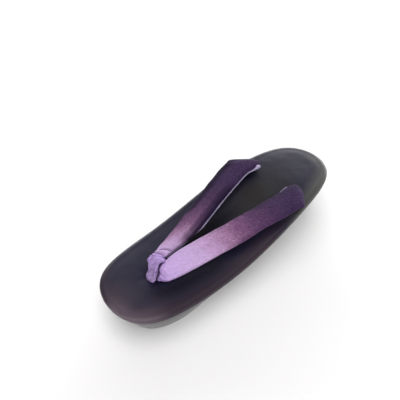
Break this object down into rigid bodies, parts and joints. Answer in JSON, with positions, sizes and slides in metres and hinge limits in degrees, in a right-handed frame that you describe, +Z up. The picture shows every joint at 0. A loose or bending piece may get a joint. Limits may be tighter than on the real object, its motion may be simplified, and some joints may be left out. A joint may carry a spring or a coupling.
{
  "type": "zori sandal",
  "caption": "Low wedge zori sandal: padded round-ended top, wrapped core, thin sprung outsole and a V-shaped padded crepe thong strap held by a front loop.",
  "frame": {"origin": "on the ground under the middle of the sandal's length and width", "axes": "+X from the heel towards the toe, +Y across the sandal, +Z up from the ground"},
  "size_m": [0.24, 0.087, 0.0515],
  "materials": {
    "pad_cover": "smooth semi-matt dark aubergine cover over soft padding",
    "core_wrap": "smooth dark cover glued round the core",
    "walking_rubber": "matt dark walking sole with fine cross ribs",
    "strap_crepe": "padded crepe shaded from deep purple at the heel end to pale lavender at the front, pale lilac lining",
    "loop_crepe": "puckered greyish lavender crepe"
  },
  "bodies": {
    "root": {"top_pad": "pad_cover", "sole_body": "core_wrap", "outsole": "walking_rubber", "strap": "strap_crepe", "front_loop": "loop_crepe"}
  },
  "joints": []
}
